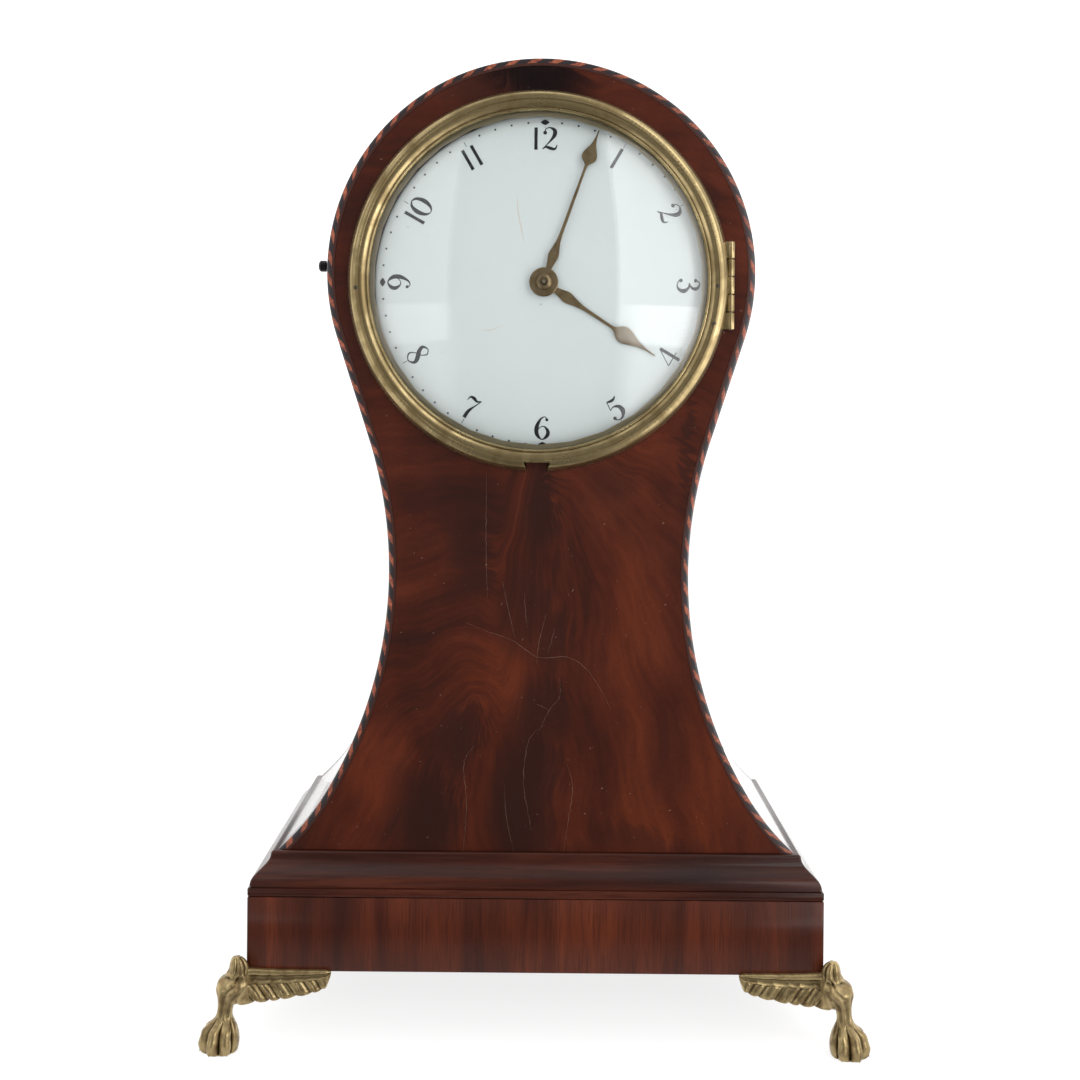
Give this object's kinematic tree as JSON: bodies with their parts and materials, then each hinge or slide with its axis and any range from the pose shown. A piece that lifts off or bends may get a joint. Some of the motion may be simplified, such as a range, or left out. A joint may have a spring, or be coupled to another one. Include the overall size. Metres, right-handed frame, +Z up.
{
  "type": "bracket clock",
  "caption": "Waisted mahogany mantel clock with a hinged brass bezel, convex enamel dial, rear-wound spring movement, pendulum and winged paw feet.",
  "frame": {"origin": "on the table, midway between the soles of the four paw feet", "axes": "+Z up, the dial faces -Y, +X to the right of the dial"},
  "size_m": [0.2472, 0.1552, 0.3707],
  "materials": {
    "mahogany": "french polished, worn at the edges",
    "flame_veneer": "polished crotch veneer with age cracks",
    "carcass": "bare planed wood",
    "chequer": "inlaid light and dark stringing",
    "cast_brass": "cast and chased, aged lacquer",
    "brass": "turned and filed",
    "steel": "polished",
    "blued_steel": "blued",
    "enamel": "gloss",
    "glass": "clear"
  },
  "bodies": {
    "case": {"base_block": "mahogany", "base_moulding": "mahogany", "front_board": "flame_veneer", "edge_stringing": "chequer", "head_arch": "mahogany", "side_left": "mahogany", "side_right": "mahogany", "seat_board": "carcass", "back_board": "mahogany", "foot_front_left": "cast_brass", "foot_front_right": "cast_brass", "foot_rear_left": "cast_brass", "foot_rear_right": "cast_brass", "door_hinge_lower_case_leaf": "brass", "door_hinge_upper_case_leaf": "brass", "bezel_hinge_case_leaf": "brass", "bezel_hinge_pin": "steel", "catch_spring_plate": "steel", "dial_enamel": "enamel", "dial_ring": "brass", "front_plate": "brass", "back_plate": "brass", "pillar_lower_left": "brass", "pillar_lower_right": "brass", "pillar_upper_left": "brass", "pillar_upper_right": "brass", "back_cock": "brass", "click_spring": "steel"},
    "bezel": {"bezel_ring": "cast_brass", "bezel_glass": "glass", "glass_retaining_ring": "brass", "bezel_catch_tongue": "brass"},
    "door": {"rear_door": "mahogany", "door_hinge_lower_door_leaf": "brass", "door_hinge_upper_door_leaf": "brass", "door_knob": "brass"},
    "button": {"catch_button": "blued_steel"},
    "centre": {"centre_wheel": "brass", "cannon_pinion": "brass", "minute_hand": "brass", "hand_collet": "brass"},
    "motion_minute": {"minute_wheel": "brass"},
    "motion_hour": {"hour_wheel": "brass", "hour_hand": "brass"},
    "second": {"second_wheel": "brass"},
    "great": {"barrel": "brass", "barrel_cap": "brass", "mainspring": "blued_steel"},
    "third": {"third_wheel": "brass"},
    "escape": {"escape_wheel": "brass"},
    "winding": {"winding_arbor": "steel", "ratchet_wheel": "steel"},
    "ratchet_click": {"click": "steel"},
    "pallets": {"pallets_and_crutch": "steel"},
    "pendulum": {"suspension_spring": "steel", "pendulum_rod": "steel"},
    "bob": {"pendulum_bob": "brass"},
    "nut": {"rating_nut": "brass"}
  },
  "joints": [
    {"name": "minute_spin", "type": "hinge", "parent": "case", "child": "centre", "pos_m": [0.001, 0, 0.2853], "axis": [0, 1, 0], "continuous": true},
    {"name": "minute_wheel_spin", "type": "hinge", "parent": "case", "child": "motion_minute", "pos_m": [0.01083, 0, 0.27842], "axis": [0, 1, 0], "continuous": true},
    {"name": "hour_spin", "type": "hinge", "parent": "case", "child": "motion_hour", "pos_m": [0.001, 0, 0.2853], "axis": [0, 1, 0], "continuous": true},
    {"name": "second_spin", "type": "hinge", "parent": "case", "child": "second", "pos_m": [0.0115, 0, 0.26711], "axis": [0, 1, 0], "continuous": true},
    {"name": "barrel_spin", "type": "hinge", "parent": "case", "child": "great", "pos_m": [-0.00889, 0, 0.2523], "axis": [0, 1, 0], "continuous": true},
    {"name": "third_spin", "type": "hinge", "parent": "case", "child": "third", "pos_m": [-0.01018, 0, 0.30127], "axis": [0, 1, 0], "continuous": true},
    {"name": "escape_spin", "type": "hinge", "parent": "case", "child": "escape", "pos_m": [0.001, 0, 0.31473], "axis": [0, 1, 0], "continuous": true},
    {"name": "winding_turn", "type": "hinge", "parent": "case", "child": "winding", "pos_m": [-0.00889, 0, 0.2523], "axis": [0, 1, 0], "continuous": true},
    {"name": "click_lift", "type": "hinge", "parent": "case", "child": "ratchet_click", "pos_m": [-0.02139, 0.0115, 0.2548], "axis": [0, -1, 0], "range_deg": [0, 10], "stiffness_Nm_per_rad": 0.01, "springref_deg": -11.46},
    {"name": "pendulum_swing", "type": "hinge", "parent": "case", "child": "pendulum", "pos_m": [0.001, 0.028, 0.32923], "axis": [0, 1, 0], "range_deg": [-3.5, 3.5]},
    {"name": "pallet_rock", "type": "hinge", "parent": "case", "child": "pallets", "pos_m": [0.001, 0, 0.32923], "axis": [0, 1, 0], "range_deg": [-3.5, 3.5]},
    {"name": "bob_slide", "type": "slide", "parent": "pendulum", "child": "bob", "axis": [0, 0, 1], "range_m": [-0.0015, 0.0015]},
    {"name": "rating_turn", "type": "hinge", "parent": "bob", "child": "nut", "pos_m": [0.001, 0.028, 0.0905], "axis": [0, 0, 1], "range_deg": [-540.1, 540.1]},
    {"name": "bezel_swing", "type": "hinge", "parent": "case", "child": "bezel", "pos_m": [0.0718, -0.0544, 0.2847], "axis": [0, 0, 1], "range_deg": [0, 110]},
    {"name": "door_swing", "type": "hinge", "parent": "case", "child": "door", "pos_m": [0.042, 0.0645, 0.204], "axis": [0, 0, -1], "range_deg": [0, 110]},
    {"name": "button_press", "type": "slide", "parent": "case", "child": "button", "axis": [1, 0, 0], "range_m": [0, 0.0015], "stiffness_N_per_m": 300, "springref_m": -0.002}
  ],
  "couplings": [
    {"joint": "minute_wheel_spin", "follows": "minute_spin", "ratio": -0.33333},
    {"joint": "hour_spin", "follows": "minute_spin", "ratio": 0.083333},
    {"joint": "second_spin", "follows": "minute_spin", "ratio": -0.16667},
    {"joint": "barrel_spin", "follows": "minute_spin", "ratio": 0.020833},
    {"joint": "third_spin", "follows": "minute_spin", "ratio": -12},
    {"joint": "escape_spin", "follows": "minute_spin", "ratio": 128},
    {"joint": "pallet_rock", "follows": "pendulum_swing", "ratio": 1},
    {"joint": "rating_turn", "follows": "bob_slide", "rad_per_m": 6283.2}
  ]
}
